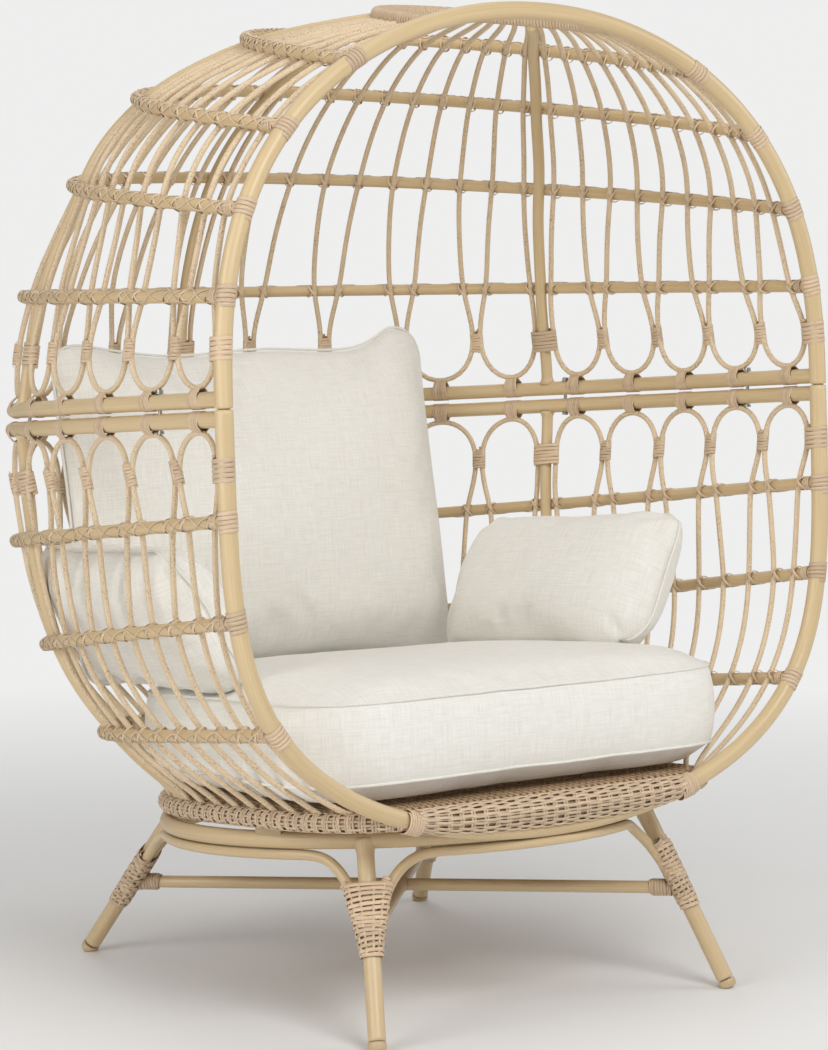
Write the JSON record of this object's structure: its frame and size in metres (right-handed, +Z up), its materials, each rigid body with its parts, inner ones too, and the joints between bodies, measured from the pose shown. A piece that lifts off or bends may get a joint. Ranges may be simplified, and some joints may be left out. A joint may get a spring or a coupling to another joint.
{
  "type": "egg chair",
  "caption": "Free-standing egg chair: a two-half cage of bent tubes, ribs and looped rods on a splayed four-leg ring stand, with seat, back and arm cushions.",
  "frame": {"origin": "on the floor, at the middle of the chair's footprint box", "axes": "+Z up, the open front faces -Y, +X is the sitter's left as they face out; X = 0 is the mirror plane of the cage"},
  "size_m": [1.2144, 1.1551, 1.6062],
  "materials": {
    "cane_tube": "semi-gloss golden beige coating with a faint lengthwise grain, over steel tube",
    "cane_rib": "semi-gloss golden beige coating, bound with flat strip",
    "speckled_rod": "satin light beige coating with fine brown speckle",
    "binding": "flat resin cane strip, wound turn on turn, satin",
    "weave": "woven resin cane strand, satin",
    "foot_plastic": "smooth moulded plastic",
    "steel": "zinc plated",
    "linen": "off-white linen-look outdoor canvas with piped seams"
  },
  "bodies": {
    "frame": {"hoop_upper": "cane_tube", "hoop_lower": "cane_tube", "seam_rail_upper": "cane_tube", "seam_rail_lower": "cane_tube", "top_rail": "cane_rib", "rear_tube_upper_right": "cane_tube", "rear_tube_upper_centre": "cane_tube", "rear_tube_upper_left": "cane_tube", "rear_tube_lower_right": "cane_tube", "rear_tube_lower_centre": "cane_tube", "rear_tube_lower_left": "cane_tube", "rib_1": "cane_rib", "rib_2": "cane_rib", "rib_3": "cane_rib", "rib_4": "cane_rib", "rib_5": "cane_rib", "rib_6": "cane_rib", "rib_7": "cane_rib", "loops_upper_front_right": "speckled_rod", "loops_upper_rear_right": "speckled_rod", "loops_upper_rear_left": "speckled_rod", "loops_upper_front_left": "speckled_rod", "loops_lower_front_right": "speckled_rod", "loops_lower_rear_right": "speckled_rod", "loops_lower_rear_left": "speckled_rod", "loops_lower_front_left": "speckled_rod", "loop_ties_upper": "binding", "loop_ties_lower": "binding", "seam_wraps_upper": "binding", "seam_wraps_lower": "binding", "seat_rim": "weave", "seat_deck": "weave", "seat_apron": "weave", "hoop_collars": "binding", "base_ring": "cane_tube", "bracket_arcs": "cane_tube", "leg_front_left": "cane_tube", "leg_front_right": "cane_tube", "leg_rear_left": "cane_tube", "leg_rear_right": "cane_tube", "stretcher_long": "cane_tube", "stretcher_halves": "cane_tube", "leg_wraps": "binding", "stretcher_collars": "binding", "foot_caps": "foot_plastic", "mount_pads": "foot_plastic", "mount_bolts": "steel", "mount_nuts": "steel", "seam_bolts": "steel", "seam_nuts": "steel", "seam_washers": "steel"},
    "seat": {"seat_cushion": "linen"},
    "back": {"back_cushion": "linen"},
    "pillow_right": {"arm_pillow_right": "linen"},
    "pillow_left": {"arm_pillow_left": "linen"}
  },
  "joints": [
    {"name": "seat_cushion_lift", "type": "slide", "parent": "frame", "child": "seat", "axis": [0, 0, 1], "range_m": [0, 0.08]},
    {"name": "back_cushion_lift", "type": "slide", "parent": "seat", "child": "back", "axis": [0, -0.1961, 0.9806], "range_m": [0, 0.08]},
    {"name": "arm_pillow_right_lift", "type": "slide", "parent": "seat", "child": "pillow_right", "axis": [-0.5001, -0.1, 0.8602], "range_m": [0, 0.1]},
    {"name": "arm_pillow_left_lift", "type": "slide", "parent": "seat", "child": "pillow_left", "axis": [0.5001, -0.1, 0.8602], "range_m": [0, 0.1]}
  ]
}
